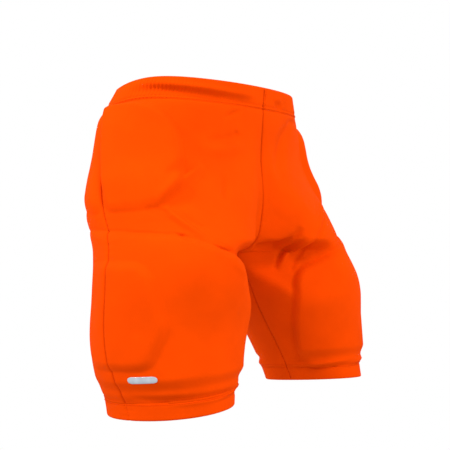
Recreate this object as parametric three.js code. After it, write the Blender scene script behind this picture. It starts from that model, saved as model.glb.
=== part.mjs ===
// Padded impact shorts as worn: a stretch shell with foam pads in pockets at the hips, seat, tail
// and thighs, an elastic waist and two turned hems.
// Millimetres, +Z up, front towards -Y, wearer's right towards -X. The origin is the middle of the
// waist opening. One half is worked out for the left leg (+X) and mirrored for the right.
import * as THREE from "three";

// ---------------------------------------------------------------- driving dimensions
const RISE = 235; // waist edge down to the crotch point
const LENGTH = 432; // waist edge down to the hem
const HIP_DEPTH = 110; // depth of the hip level below the waist edge
const SEAT_UP = 50; // height of the fullest part of the seat above the crotch
const THIGH_UP = 97; // height of the thigh level above the hem

// Outline of one half at each level: middle and half width across, front and back.
const WAIST = { middle: 0, half: 150, front: -102, back: 102 };
const BAND = { middle: 6, half: 159, front: -100, back: 110 };
const HIP = { middle: 24, half: 161, front: -101, back: 113 };
const SEAT = { middle: 82, half: 127, front: -127, back: 92 };
const CROTCH = { middle: 109, half: 109, front: -151, back: 64 };
const THIGH = { middle: 138, half: 84, front: -140, back: 48 };
const HEM = { middle: 151, half: 68, front: -151, back: 25 };

const ROUNDNESS = 2.1; // exponent of the outlines: 2 is an ellipse, more is squarer
const GROIN_PINCH = 0.78; // 0 leaves the front of the leg round beside the crotch, 1 draws it flat
const GROIN_DEPTH = 65; // how far below the crotch the leg is round again
const WAIST_TILT = 0.09; // slope of the waist edge, lower at the front
const HEM_TILT = -0.1; // slope of the hem, higher at the front
const HEM_LEAN = -0.06; // slope of the hem, lower on the outer side
// Where the side seam lies round the half outline: 0 is its front edge, 1 its back edge.
const SEAM_TURN = { waist: 0.63, crotch: 0.52, hem: 0.51 };

const FABRIC = 1.2; // shell knit
const LINING = 0.8; // pocket lining
const SEWN_GAP = 0.95; // shell to the sewn border of a lining
const GAP = 0.3; // clearance between touching pieces
const EASE = 1.4; // room that lets two soft layers bend past each other
const FOLD_ROOM = 0.5; // room round an elastic in its fold

const BAND_HEIGHT = 32;
const WAIST_ELASTIC = { height: 26, thick: 1.4 };
const HEM_HEIGHT = 21;
const HEM_ELASTIC = { height: 14, thick: 1 };
const SEAM = { width: 5, thick: 0.7, lift: 0.6 };

const PAD_MARGIN = 5; // shell lifts this far outside a pad's outline
const PAD_EDGE = 14; // width of the slope round a pad
const PAD_LIP = 0.6; // foam left at a pad's very edge
const FOAM_SLOPE = 24; // width of the bevel round a pad
const POCKET_BORDER = 6; // lining beyond the pad

// Pads are set out on the cloth. Across runs backwards from the side seam and depth down from the
// waist edge, and a top is below the band, a low end above the hem or the crotch level.
const HIP_PAD = { thick: 11, front: 114, near: 8, top: 9, up: 56, corner: 58, seamCorner: 14 };
const REAR_HIP_PAD = { thick: 9, rear: 88, near: 8, top: 16, up: 56, corner: 34, seamCorner: 14 };
const TAIL_PAD = { thick: 10, half: 54, tip: 32, top: 34, up: 50, corner: 24 };
const THIGH_PAD = { thick: 9, front: 244, rear: 78, top: 24, groin: 34, up: 30, corner: 28 };
const OUTER_PAD = { thick: 5, front: 76, rear: 50, top: 12, up: 64, corner: 24 };
const REFLECTOR = { width: 36, height: 8, across: -40, up: 50, thick: 0.4, lift: 0.6 };

// How finely the cloth is faceted.
const FRONT_COLUMNS = 14;
const BACK_COLUMNS = 11;
const ROW_HEIGHT = 18; // tallest facet of a panel, on average
const CELL = 25; // widest facet of a pad

// ---------------------------------------------------------------- the garment form
const LEVELS = [
  [0, WAIST],
  [BAND_HEIGHT, BAND],
  [HIP_DEPTH, HIP],
  [RISE - SEAT_UP, SEAT],
  [RISE, CROTCH],
  [LENGTH - THIGH_UP, THIGH],
  [LENGTH, HEM],
];
const outlineAt = new THREE.CubicInterpolant(
  LEVELS.map(([depth]) => depth),
  LEVELS.flatMap(([, o]) => [o.middle, o.half, o.front, o.back]),
  4,
);
const clamp = THREE.MathUtils.clamp;
const ease = (x) => THREE.MathUtils.smoothstep(x, 0, 1);
const mix = THREE.MathUtils.lerp;

// The point at turn 0..1 of the half outline at a depth, from its front edge round to its back edge.
function formPoint(turn, depth) {
  const [middle, half, front, back] = outlineAt.evaluate(clamp(depth, 0, LENGTH));
  const start = depth < RISE ? Math.acos(clamp(middle / half, -1, 1)) : 0;
  const angle = start + (2 * Math.PI - 2 * start) * turn;
  const c = Math.cos(angle);
  const s = Math.sin(angle);
  const power = 2 / ROUNDNESS;
  const x = Math.max(0, middle - half * Math.sign(c) * Math.abs(c) ** power);
  const centre = (front + back) / 2;
  const reach = s > 0 ? front - centre : back - centre;
  let share = Math.abs(s) ** power;
  if (c > 0) {
    const out = depth < RISE ? x / Math.max(middle, 1e-6) : 1 - c ** power;
    share = mix(fullRound(out), drawnIn(out), s > 0 ? groinPinch(depth) : 0);
    if (depth < RISE) share = riseShare(depth / RISE, drawnIn(out), share);
  }
  const y = centre + reach * share;
  return new THREE.Vector3(x, y, heightOf(x - middle, y, y - centre, depth));
}

// Between the centre seam (out = 0) and the middle of the leg (out = 1) a drawn-in outline leaves
// the centre gently, and a leg's own outline is round.
const drawnIn = (out) => 1 - ease(1 - out);
const fullRound = (out) => (1 - clamp(1 - out, 0, 1) ** ROUNDNESS) ** (1 / ROUNDNESS);

// How much of that the front keeps beside and below the crotch.
const groinPinch = (depth) => GROIN_PINCH * (1 - ease((depth - RISE - 15) / (GROIN_DEPTH - 15)));

// The centre seam turns under the body towards the crotch point, and the outline beside it turns
// from drawn in to the shape of the leg.
function riseShare(down, drawn, leg) {
  const seam = Math.sqrt(Math.max(0, 1 - down ** 3));
  return mix(seam, 1, mix(drawn, leg, ease((down - 0.75) / 0.25)));
}

// The waist edge slopes down to the front and the hems slope with the legs.
function heightOf(outwards, y, backwards, depth) {
  if (depth < RISE) return WAIST_TILT * y * (1 - ease(depth / RISE)) - depth;
  const down = (depth - RISE) / (LENGTH - RISE);
  return (HEM_TILT * backwards + HEM_LEAN * outwards) * down - depth;
}

// A row of the form at one depth, with the length along it to each point from its front edge.
const ROW_STEPS = 400;
const rows = new Map();
function rowAt(depth) {
  if (rows.has(depth)) return rows.get(depth);
  const points = [];
  for (let i = 0; i <= ROW_STEPS; i++) points.push(formPoint(i / ROW_STEPS, depth));
  const along = [0];
  points.forEach((p, i) => i && along.push(along[i - 1] + p.distanceTo(points[i - 1])));
  const total = along[ROW_STEPS];
  const row = { points, along, front: along[Math.round(seamTurn(depth) * ROW_STEPS)] };
  row.back = total - row.front;
  rows.set(depth, row);
  return row;
}

// The side seam divides each row into a front and a back part.
function seamTurn(depth) {
  const { waist, crotch, hem } = SEAM_TURN;
  if (depth > RISE) return mix(crotch, hem, (depth - RISE) / (LENGTH - RISE));
  return mix(waist, crotch, Math.sin((depth / RISE) * (Math.PI / 2)));
}

// A point of the form: across is measured from the side seam, backwards along the cloth.
function clothPoint(across, depth) {
  const row = rowAt(depth);
  const at = clamp(across + row.front, 0, row.along[ROW_STEPS]);
  let i = Math.floor((at / row.along[ROW_STEPS]) * ROW_STEPS);
  while (i < ROW_STEPS - 1 && row.along[i + 1] < at) i++;
  while (i > 0 && row.along[i] > at) i--;
  i = Math.min(i, ROW_STEPS - 1);
  const share = (at - row.along[i]) / Math.max(row.along[i + 1] - row.along[i], 1e-9);
  return row.points[i].clone().lerp(row.points[i + 1], share);
}

// The direction out of the body there, across the cloth and down it.
const STEP = 3;
function clothNormal(across, depth) {
  const row = rowAt(depth);
  const from = Math.max(across - STEP, -row.front);
  const to = Math.min(across + STEP, row.back);
  const round = clothPoint(to, depth).sub(clothPoint(from, depth));
  const high = Math.max(depth - STEP, 0);
  const low = Math.min(depth + STEP, LENGTH);
  const down = clothPoint(across, low).sub(clothPoint(across, high));
  return down.cross(round).normalize();
}

// ---------------------------------------------------------------- pad outlines
// Corners are [across, depth, radius], in order round the pad; each becomes a short arc.
const ARC_STEPS = 4;
function rounded(corners) {
  const outline = [];
  corners.forEach(([a, b, radius], i) => {
    const before = corners.at(i - 1);
    const after = corners[(i + 1) % corners.length];
    const corner = new THREE.Vector2(a, b);
    const back = new THREE.Vector2(before[0], before[1]).sub(corner).normalize();
    const on = new THREE.Vector2(after[0], after[1]).sub(corner).normalize();
    const half = Math.acos(clamp(back.dot(on), -1, 1)) / 2;
    const reach = radius / Math.tan(half);
    const curve = new THREE.QuadraticBezierCurve(
      corner.clone().addScaledVector(back, reach),
      corner,
      corner.clone().addScaledVector(on, reach),
    );
    outline.push(...curve.getPoints(ARC_STEPS));
  });
  return outline;
}

// Distance from a point to the outline, positive inside it.
function depthInside(outline, a, b) {
  let nearest = Infinity;
  let inside = false;
  outline.forEach((p, i) => {
    const q = outline[(i + 1) % outline.length];
    const dx = q.x - p.x;
    const dy = q.y - p.y;
    const share = clamp(((a - p.x) * dx + (b - p.y) * dy) / (dx * dx + dy * dy || 1), 0, 1);
    nearest = Math.min(nearest, Math.hypot(a - p.x - share * dx, b - p.y - share * dy));
    if (p.y > b !== q.y > b && a < p.x + ((b - p.y) / dy) * dx) inside = !inside;
  });
  return inside ? nearest : -nearest;
}

const hipTop = BAND_HEIGHT + HIP_PAD.top;
const hipLow = RISE - HIP_PAD.up;
const hipOutline = rounded([
  [-HIP_PAD.near, hipTop, HIP_PAD.seamCorner],
  [-HIP_PAD.front, hipTop, HIP_PAD.corner],
  [-HIP_PAD.front, hipLow - 6, HIP_PAD.corner * 0.8],
  [-HIP_PAD.near, hipLow, HIP_PAD.seamCorner],
]);
const rearTop = BAND_HEIGHT + REAR_HIP_PAD.top;
const rearLow = RISE - REAR_HIP_PAD.up;
const rearHipOutline = rounded([
  [REAR_HIP_PAD.near, rearTop, REAR_HIP_PAD.seamCorner],
  [REAR_HIP_PAD.near, rearLow, REAR_HIP_PAD.seamCorner],
  [REAR_HIP_PAD.rear, rearLow - 10, REAR_HIP_PAD.corner],
  [REAR_HIP_PAD.rear, rearTop + 12, REAR_HIP_PAD.corner],
]);
const tailTop = BAND_HEIGHT + TAIL_PAD.top;
const tailLow = RISE - TAIL_PAD.up;
const tailOutline = rounded([
  [TAIL_PAD.half, tailTop, TAIL_PAD.corner],
  [-TAIL_PAD.half, tailTop, TAIL_PAD.corner],
  [-TAIL_PAD.tip, tailLow, TAIL_PAD.corner],
  [TAIL_PAD.tip, tailLow, TAIL_PAD.corner],
]);
const thighTop = RISE - THIGH_PAD.top;
const thighLow = LENGTH - THIGH_PAD.up;
const thighOutline = rounded([
  [THIGH_PAD.rear, thighTop, THIGH_PAD.corner],
  [-0.4 * THIGH_PAD.front, thighTop + 6, THIGH_PAD.corner * 2],
  [-THIGH_PAD.front, RISE + THIGH_PAD.groin, THIGH_PAD.corner],
  [-THIGH_PAD.front + 14, thighLow + 4, THIGH_PAD.corner],
  [THIGH_PAD.rear, thighLow - 2, THIGH_PAD.corner],
]);
const outerTop = RISE + OUTER_PAD.top;
const outerLow = LENGTH - OUTER_PAD.up;
const outerOutline = rounded([
  [OUTER_PAD.rear, outerTop, OUTER_PAD.corner],
  [-OUTER_PAD.front + 22, outerTop, OUTER_PAD.corner],
  [-OUTER_PAD.front, mix(outerTop, outerLow, 0.62), OUTER_PAD.corner * 1.4],
  [-OUTER_PAD.front + 24, outerLow, OUTER_PAD.corner],
  [OUTER_PAD.rear, outerLow, OUTER_PAD.corner],
]);

// ---------------------------------------------------------------- layers of the cloth
// How far a pad lifts the shell at a point.
function lift(outline, thick, a, b) {
  return thick * ease((depthInside(outline, a, b) + PAD_MARGIN) / PAD_EDGE);
}

function shellLift(across, depth) {
  const fromBack = rowAt(depth).back - across;
  const side = Math.max(
    lift(hipOutline, HIP_PAD.thick + EASE, across, depth),
    lift(rearHipOutline, REAR_HIP_PAD.thick + EASE, across, depth),
    lift(tailOutline, TAIL_PAD.thick + EASE, fromBack, depth),
    lift(thighOutline, THIGH_PAD.thick + EASE, across, depth),
  );
  return side + lift(outerOutline, OUTER_PAD.thick + EASE, across, depth);
}

// A point of the left half, some way off the form along its normal.
function offForm(across, depth, off) {
  const point = clothPoint(across, depth).addScaledVector(clothNormal(across, depth), off);
  point.x = Math.max(point.x, 0) + GAP / 2;
  return point;
}

// ---------------------------------------------------------------- solids
// A closed solid between two grids of points, the outer one facing away from the body.
function slab(outer, inner) {
  const rowCount = outer.length;
  const columnCount = outer[0].length;
  const size = rowCount * columnCount;
  const position = [...outer.flat(), ...inner.flat()].flatMap((p) => [p.x, p.y, p.z]);
  const index = [];
  const quad = (a, b, c, d) => index.push(a, b, c, a, c, d);
  const at = (i, j) => i * columnCount + j;
  for (let i = 0; i + 1 < rowCount; i++) {
    for (let j = 0; j + 1 < columnCount; j++) {
      quad(at(i, j), at(i + 1, j), at(i + 1, j + 1), at(i, j + 1));
      const [a, b, c, d] = [at(i, j), at(i, j + 1), at(i + 1, j + 1), at(i + 1, j)];
      quad(size + a, size + b, size + c, size + d);
    }
  }
  const rim = [];
  for (let j = 0; j + 1 < columnCount; j++) rim.push(at(0, j));
  for (let i = 0; i + 1 < rowCount; i++) rim.push(at(i, columnCount - 1));
  for (let j = columnCount - 1; j > 0; j--) rim.push(at(rowCount - 1, j));
  for (let i = rowCount - 1; i > 0; i--) rim.push(at(i, 0));
  rim.forEach((a, k) => {
    const b = rim[(k + 1) % rim.length];
    quad(a, b, size + b, size + a);
  });
  return surface(position, index);
}

// A closed ring: the same closed outline of points repeated at each station round it.
function ring(stations) {
  const count = stations[0].length;
  const position = stations.flat().flatMap((p) => [p.x, p.y, p.z]);
  const index = [];
  stations.forEach((outline, i) => {
    const next = ((i + 1) % stations.length) * count;
    outline.forEach((p, j) => {
      const k = (j + 1) % count;
      const [a, b, c, d] = [i * count + j, next + j, next + k, i * count + k];
      index.push(a, b, c, a, c, d);
    });
  });
  return surface(position, index);
}

function surface(position, index) {
  const geometry = new THREE.BufferGeometry();
  geometry.setAttribute("position", new THREE.Float32BufferAttribute(position, 3));
  geometry.setIndex(index);
  geometry.computeVertexNormals();
  return geometry;
}

// The same solid for the right leg, with its faces turned to point out again.
function mirrored(geometry) {
  const copy = geometry.clone().scale(-1, 1, 1);
  const index = [...copy.index.array];
  for (let i = 0; i < index.length; i += 3) {
    [index[i + 1], index[i + 2]] = [index[i + 2], index[i + 1]];
  }
  copy.setIndex(index);
  copy.computeVertexNormals();
  return copy;
}

const steps = (from, to, count) =>
  Array.from({ length: count + 1 }, (_, i) => mix(from, to, i / count));

// A point round the leg below the crotch, where the row closes on itself at the inseam.
function roundLeg(across, depth, off) {
  const row = rowAt(depth);
  const beyond = across < -row.front;
  const wrapped = beyond ? across + row.front + row.back : across;
  const point = clothPoint(wrapped, depth);
  const normal = clothNormal(clamp(wrapped, STEP - row.front, row.back - STEP), depth);
  return point.addScaledVector(normal, off).add(new THREE.Vector3(GAP / 2, 0, 0));
}

// Rows of the shell, closer together where it curves under the crotch.
const PANEL_TOP = BAND_HEIGHT + GAP;
const PANEL_LOW = LENGTH - HEM_HEIGHT - GAP;
const CROTCH_CROWDING = 1.3;
const UPPER_ROWS = Math.ceil((RISE - PANEL_TOP) / ROW_HEIGHT);
const LOWER_ROWS = Math.ceil((PANEL_LOW - RISE) / ROW_HEIGHT);
const upperDepths = steps(1, 0, UPPER_ROWS).map(
  (share) => RISE - (RISE - PANEL_TOP) * share ** CROTCH_CROWDING,
);
const lowerDepths = steps(RISE, PANEL_LOW, LOWER_ROWS);
const panelDepths = [...upperDepths, ...lowerDepths.slice(1)];

function panel(acrossOf) {
  const grid = (off) =>
    panelDepths.map((depth) =>
      acrossOf(rowAt(depth)).map((across) =>
        offForm(across, depth, shellLift(across, depth) + off),
      ),
    );
  return slab(grid(0), grid(-FABRIC));
}

// The columns of a panel, with a narrow one under the stitching at either edge.
const frontColumns = (row) => [
  GAP / 2 - row.front,
  ...steps(SEAM.width / 2 - row.front, -SEAM.width / 2, FRONT_COLUMNS),
  -GAP / 2,
];
const backColumns = (row) => [
  GAP / 2,
  ...steps(SEAM.width / 2, row.back - SEAM.width / 2, BACK_COLUMNS),
  row.back - GAP / 2,
];

// The top and the low end of an outline at a place across it.
function spanDown(outline, across) {
  const crossings = [];
  outline.forEach((p, i) => {
    const q = outline[(i + 1) % outline.length];
    if (p.x > across !== q.x > across) {
      crossings.push(p.y + ((across - p.x) / (q.x - p.x)) * (q.y - p.y));
    }
  });
  return [Math.min(...crossings), Math.max(...crossings)];
}

// Rows and columns of points that fill an outline, each column from its top to its low end. A
// border adds a point beyond each end of a column, and a column beyond the first and the last.
function fill(outline, border) {
  const places = outline.map((p) => p.x);
  const [from, to] = [Math.min(...places), Math.max(...places)];
  const heights = outline.map((p) => p.y);
  const count = Math.ceil((to - from) / CELL);
  const rowCount = Math.ceil((Math.max(...heights) - Math.min(...heights)) / CELL);
  const columns = steps(0, 1, count).map((share) => {
    const crowded = (1 - Math.cos(Math.PI * share)) / 2;
    const across = clamp(mix(from, to, mix(crowded, share, 0.5)), from + 1, to - 1);
    const [top, low] = spanDown(outline, across);
    const depths = steps(top, low, rowCount);
    if (border) depths.splice(0, 0, top - border);
    if (border) depths.push(low + border);
    return depths.map((depth) => [across, depth]);
  });
  const shifted = (column, by) => column.map(([across, depth]) => [across + by, depth]);
  if (border) columns.splice(0, 0, shifted(columns[0], -border));
  if (border) columns.push(shifted(columns.at(-1), border));
  return columns[0].map((_, i) => columns.map((column) => column[i]));
}

// Across the front or back centre the cloth is measured from the centre line. The front runs from
// right to left and the back from left to right, so that the cloth always faces out.
function centrePlace(acrossAt, leftSign) {
  return (fromCentre, depth, off) => {
    const across = acrossAt(rowAt(depth), Math.abs(fromCentre));
    const normal = clothNormal(across, depth);
    if (Math.abs(fromCentre) < STEP) normal.x = 0;
    const point = clothPoint(across, depth).addScaledVector(normal.normalize(), off);
    if (fromCentre * leftSign < 0) point.x = -point.x;
    return point;
  };
}
const frontCentre = centrePlace((row, away) => away - row.front, 1);
const backCentre = centrePlace((row, away) => row.back - away, -1);

// A foam pad with a thin edge, laid on the form under the shell.
function pad(outline, thick, seat, place) {
  const points = fill(outline, 0);
  const foam = ([a, b]) =>
    PAD_LIP + (thick - PAD_LIP) * ease(depthInside(outline, a, b) / FOAM_SLOPE);
  const outer = points.map((row) => row.map((p) => place(p[0], p[1], seat + foam(p))));
  const inner = points.map((row) => row.map((p) => place(p[0], p[1], seat)));
  return slab(outer, inner);
}

// The lining that holds a pad against the shell, closer to the shell round its sewn border.
function pocket(outline, place) {
  const points = fill(outline, POCKET_BORDER);
  const onBorder = (i, j) => !points[i - 1] || !points[i + 1] || !points[i][j - 1] || !points[i][j + 1];
  const face = (thick) =>
    points.map((row, i) =>
      row.map(([a, b], j) => place(a, b, (onBorder(i, j) ? SEWN_FACE : LINING_FACE) - thick)),
    );
  return slab(face(0), face(LINING));
}
const SEWN_FACE = -FABRIC - SEWN_GAP;
const LINING_FACE = -FABRIC - EASE;
const PAD_SEAT = LINING_FACE + GAP;

// A strip of stitching laid down the cloth, on the shell.
function stitching(depths, acrossAt, place, liftAt) {
  const face = (off) =>
    depths.map((depth) => {
      const across = acrossAt(depth);
      const raise = liftAt(across, depth) + off;
      return [-SEAM.width / 2, SEAM.width / 2].map((side) => place(across + side, depth, raise));
    });
  return slab(face(SEAM.lift + SEAM.thick), face(SEAM.lift));
}

// A thin bar printed across the cloth, on the shell.
function printedBar({ width, height, across, up, thick, lift: off }) {
  const depth = LENGTH - up;
  const face = (extra) =>
    [depth - height / 2, depth + height / 2].map((b) =>
      steps(across - width / 2, across + width / 2, 3).map((a) =>
        offForm(a, b, shellLift(a, b) + off + extra),
      ),
    );
  return slab(face(thick), face(0));
}

// A point off the form that stays in the plane of its row, for the waist and the hems.
function bandPoint(share, depth, off) {
  const row = rowAt(depth);
  const across = share * (row.front + row.back) - row.front;
  const from = Math.max(across - STEP, -row.front);
  const to = Math.min(across + STEP, row.back);
  const round = clothPoint(to, depth).sub(clothPoint(from, depth));
  const down = Math.max(0, (depth - RISE) / (LENGTH - RISE));
  const waistSlope = depth < RISE ? WAIST_TILT * (1 - ease(depth / RISE)) : 0;
  const up = new THREE.Vector3(-HEM_LEAN * down, -HEM_TILT * down - waistSlope, 1);
  const out = round.cross(up);
  if (depth < RISE && (share === 0 || share === 1)) out.x = 0;
  return clothPoint(across, depth).addScaledVector(out.normalize(), off);
}

// The fold of cloth over an elastic, as [off, distance from the edge] points.
function foldOver(height, elastic) {
  const full = 2 * (FABRIC + FOLD_ROOM) + elastic.thick;
  const past = FABRIC + 2 * FOLD_ROOM + elastic.height;
  const bevel = 1;
  return [
    [0, height],
    [0, past],
    [0, bevel],
    [-bevel, 0],
    [bevel - full, 0],
    [-full, bevel],
    [-full, past],
    [-full, height],
    [FABRIC - full, height],
    [FABRIC - full, past],
    [FABRIC - full, FABRIC],
    [-FABRIC, FABRIC],
    [-FABRIC, past],
    [-FABRIC, height],
  ];
}

// The elastic inside a fold, in the same terms.
function inside({ height, thick }) {
  const near = FABRIC + FOLD_ROOM;
  return [
    [-near, near + height],
    [-near, near],
    [-near - thick, near],
    [-near - thick, near + height],
  ];
}

const WAIST_STATIONS = 20; // round half the waist
const HEM_STATIONS = 26; // round one hem
function waistRing(profile) {
  const half = (sign) =>
    steps(0, 1, WAIST_STATIONS).map((share) =>
      profile.map(([off, down]) => {
        const point = bandPoint(share, down, off);
        point.x *= sign;
        return point;
      }),
    );
  const left = half(1);
  const right = half(-1).reverse().slice(1, -1);
  return ring([...left, ...right]);
}

function hemRing(profile) {
  const stations = steps(0, 1, HEM_STATIONS).slice(0, -1).reverse();
  return ring(
    stations.map((share) =>
      profile.map(([off, up]) => {
        const point = bandPoint(share, LENGTH - up, off);
        point.x += GAP / 2;
        return point;
      }),
    ),
  );
}

// ---------------------------------------------------------------- the shorts
const ORANGE = 0xff4d08;
const finish = (color, roughness) => () =>
  new THREE.MeshStandardMaterial({ color, roughness, metalness: 0 });
const shellKnit = finish(ORANGE, 0.75);
const bandKnit = finish(0xf24a0a, 0.7);
const thread = finish(0xe8480c, 0.6);
const foam = finish(0x2a2b2e, 0.9);
const mesh = finish(0x1d1e20, 0.85);
const elastic = finish(0xd9d6cf, 0.8);
const reflective = finish(0xc8cdd2, 0.35);

const shorts = new THREE.Group();
function add(name, geometry, material) {
  const piece = new THREE.Mesh(geometry, material());
  piece.name = name;
  shorts.add(piece);
}
function addPair(name, geometry, material) {
  add(`${name}_left`, geometry, material);
  add(`${name}_right`, mirrored(geometry), material);
}

add("waistband_casing", waistRing(foldOver(BAND_HEIGHT, WAIST_ELASTIC)), bandKnit);
add("waist_elastic", waistRing(inside(WAIST_ELASTIC)), elastic);

addPair("front_panel", panel(frontColumns), shellKnit);
addPair("back_panel", panel(backColumns), shellKnit);

addPair("side_seam", stitching(panelDepths, () => 0, offForm, shellLift), thread);
const legDepths = lowerDepths.slice(1);
const inseamAcross = (depth) => -rowAt(depth).front;
const riseDepths = upperDepths.slice(0, -1);
const noLift = () => 0;
const tailLift = (fromCentre, depth) =>
  lift(tailOutline, TAIL_PAD.thick + EASE, fromCentre, depth);
add("front_rise_seam", stitching(riseDepths, () => 0, frontCentre, noLift), thread);
add("back_rise_seam", stitching(riseDepths, () => 0, backCentre, tailLift), thread);
addPair("inseam", stitching(legDepths, inseamAcross, roundLeg, noLift), thread);

addPair("hip_pad", pad(hipOutline, HIP_PAD.thick, PAD_SEAT, offForm), foam);
addPair("hip_pocket", pocket(hipOutline, offForm), mesh);
addPair("rear_hip_pad", pad(rearHipOutline, REAR_HIP_PAD.thick, PAD_SEAT, offForm), foam);
addPair("rear_hip_pocket", pocket(rearHipOutline, offForm), mesh);
add("tail_pad", pad(tailOutline, TAIL_PAD.thick, PAD_SEAT, backCentre), foam);
add("tail_pocket", pocket(tailOutline, backCentre), mesh);

addPair("thigh_pad", pad(thighOutline, THIGH_PAD.thick, PAD_SEAT, offForm), foam);
addPair("thigh_pocket", pocket(thighOutline, offForm), mesh);
const outerSeat = PAD_SEAT + THIGH_PAD.thick + EASE;
addPair("outer_pad", pad(outerOutline, OUTER_PAD.thick, outerSeat, offForm), foam);

add("reflective_bar", mirrored(printedBar(REFLECTOR)), reflective);

addPair("hem", hemRing(foldOver(HEM_HEIGHT, HEM_ELASTIC)), bandKnit);
addPair("hem_elastic", hemRing(inside(HEM_ELASTIC)), elastic);

export default shorts;
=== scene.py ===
# %% [markdown]
# # Padded impact shorts
# Close-fitting shorts worn under ski trousers: a stretch shell with foam pads in pockets at the
# hips, seat, tail and thighs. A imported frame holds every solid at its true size, and this lesson
# builds the cloth, stitching and foam that people see around it. All finished meshes are in metres.

import math

import bmesh
import bpy
import numpy as np
from mathutils import Matrix, Vector, noise


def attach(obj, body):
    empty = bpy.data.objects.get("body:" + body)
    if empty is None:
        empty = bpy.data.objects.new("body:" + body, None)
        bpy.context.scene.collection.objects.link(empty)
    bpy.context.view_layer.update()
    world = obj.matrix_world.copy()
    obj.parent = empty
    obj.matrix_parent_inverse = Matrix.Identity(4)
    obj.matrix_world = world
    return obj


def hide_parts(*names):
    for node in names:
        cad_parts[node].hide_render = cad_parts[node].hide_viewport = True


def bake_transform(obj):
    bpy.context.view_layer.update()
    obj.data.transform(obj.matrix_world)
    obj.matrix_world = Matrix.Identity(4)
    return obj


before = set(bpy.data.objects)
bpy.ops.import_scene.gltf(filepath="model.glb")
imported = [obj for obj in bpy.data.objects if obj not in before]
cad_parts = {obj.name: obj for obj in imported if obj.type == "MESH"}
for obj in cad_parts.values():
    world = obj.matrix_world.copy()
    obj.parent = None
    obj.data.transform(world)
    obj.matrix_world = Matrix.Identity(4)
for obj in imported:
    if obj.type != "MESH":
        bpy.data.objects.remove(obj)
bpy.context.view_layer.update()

# %% [markdown]
# ## The form of the garment
# Shorts are cut flat but worn round a body, so it helps to have one function that turns a place on
# the cloth into a place in space. `across` runs backwards along the cloth from the side seam and
# `depth` runs down from the waist edge, both in millimetres. The form is a stack of rounded
# outlines, joined at the crotch. Modelling it by pushing points about by hand would also work, but
# then pads, stitches and folds would each need their own guesswork about where the cloth is.

# %% Outlines of one half of the shorts
MM = 0.001
RISE = 235  # waist edge down to the crotch
LENGTH = 432  # waist edge down to the hem
BAND_HEIGHT = 32
HEM_HEIGHT = 21
# depth, then the outline's middle and half width across, its front and its back
LEVELS = np.array(
    [
        (0, 0, 150, -102, 102),
        (BAND_HEIGHT, 6, 159, -100, 110),
        (110, 24, 161, -101, 113),
        (RISE - 50, 82, 127, -127, 92),
        (RISE, 109, 109, -151, 64),
        (LENGTH - 97, 138, 84, -140, 48),
        (LENGTH, 151, 68, -151, 25),
    ],
    float,
)
ROUNDNESS = 2.1
WAIST_TILT, HEM_TILT, HEM_LEAN = 0.09, -0.1, -0.06
SEAM_TURN = {"waist": 0.63, "crotch": 0.52, "hem": 0.51}
HALF_GAP = 0.15  # half the gap between the two halves
GROIN_PINCH, GROIN_DEPTH = 0.78, 65  # the front is drawn in beside, and this far below, the crotch


def ease(x):
    x = np.clip(x, 0, 1)
    return x * x * (3 - 2 * x)


def mix(a, b, share):
    return a + (b - a) * share


def outline_at(depth):
    """The outline's four sizes at each depth, on a smooth curve through the levels."""
    knots, sizes = LEVELS[:, 0], LEVELS[:, 1:]
    slopes = np.diff(sizes, axis=0) / np.diff(knots)[:, None]
    slopes = np.vstack([slopes[:1], (slopes[1:] + slopes[:-1]) / 2, slopes[-1:]])
    i = np.clip(np.searchsorted(knots, depth, side="right") - 1, 0, len(knots) - 2)
    span = (knots[i + 1] - knots[i])[:, None]
    p = (depth - knots[i])[:, None] / span
    return (
        (2 * p**3 - 3 * p**2 + 1) * sizes[i]
        + (p**3 - 2 * p**2 + p) * span * slopes[i]
        + (3 * p**2 - 2 * p**3) * sizes[i + 1]
        + (p**3 - p**2) * span * slopes[i + 1]
    )


# %% Points round each outline
def drawn_in(out):
    """From the centre (0) to the middle of the leg (1), an outline that leaves it gently."""
    return 1 - ease(1 - out)


def full_round(out):
    return (1 - np.clip(1 - out, 0, 1) ** ROUNDNESS) ** (1 / ROUNDNESS)


def turned_under(down, out, leg):
    """The centre seam turns under the body towards the crotch point."""
    seam = np.sqrt(np.maximum(0, 1 - down**3))
    return mix(seam, 1, mix(drawn_in(out), leg, ease((down - 0.75) / 0.25)))


PRESS = {"limit": 34, "soft": 4, "from": RISE - 20, "to": RISE + 100}
INWARD = np.array([-0.643, -0.766])  # out of the front of the thigh, towards the other one


def pressed(x, y, depth, out):
    """The front of each thigh is pressed flat where it faces the other one, below the crotch."""
    reach = x * INWARD[0] + y * INWARD[1]
    room = PRESS["limit"] + 9 * ease((depth - RISE) / 60)
    over = PRESS["soft"] * np.log1p(np.exp(np.clip((reach - room) / PRESS["soft"], -30, 30)))
    share = ease((depth - PRESS["from"]) / 20) * ease((PRESS["to"] - depth) / 50) * ease(out / 0.3)
    return y - over * share / INWARD[1]


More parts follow.
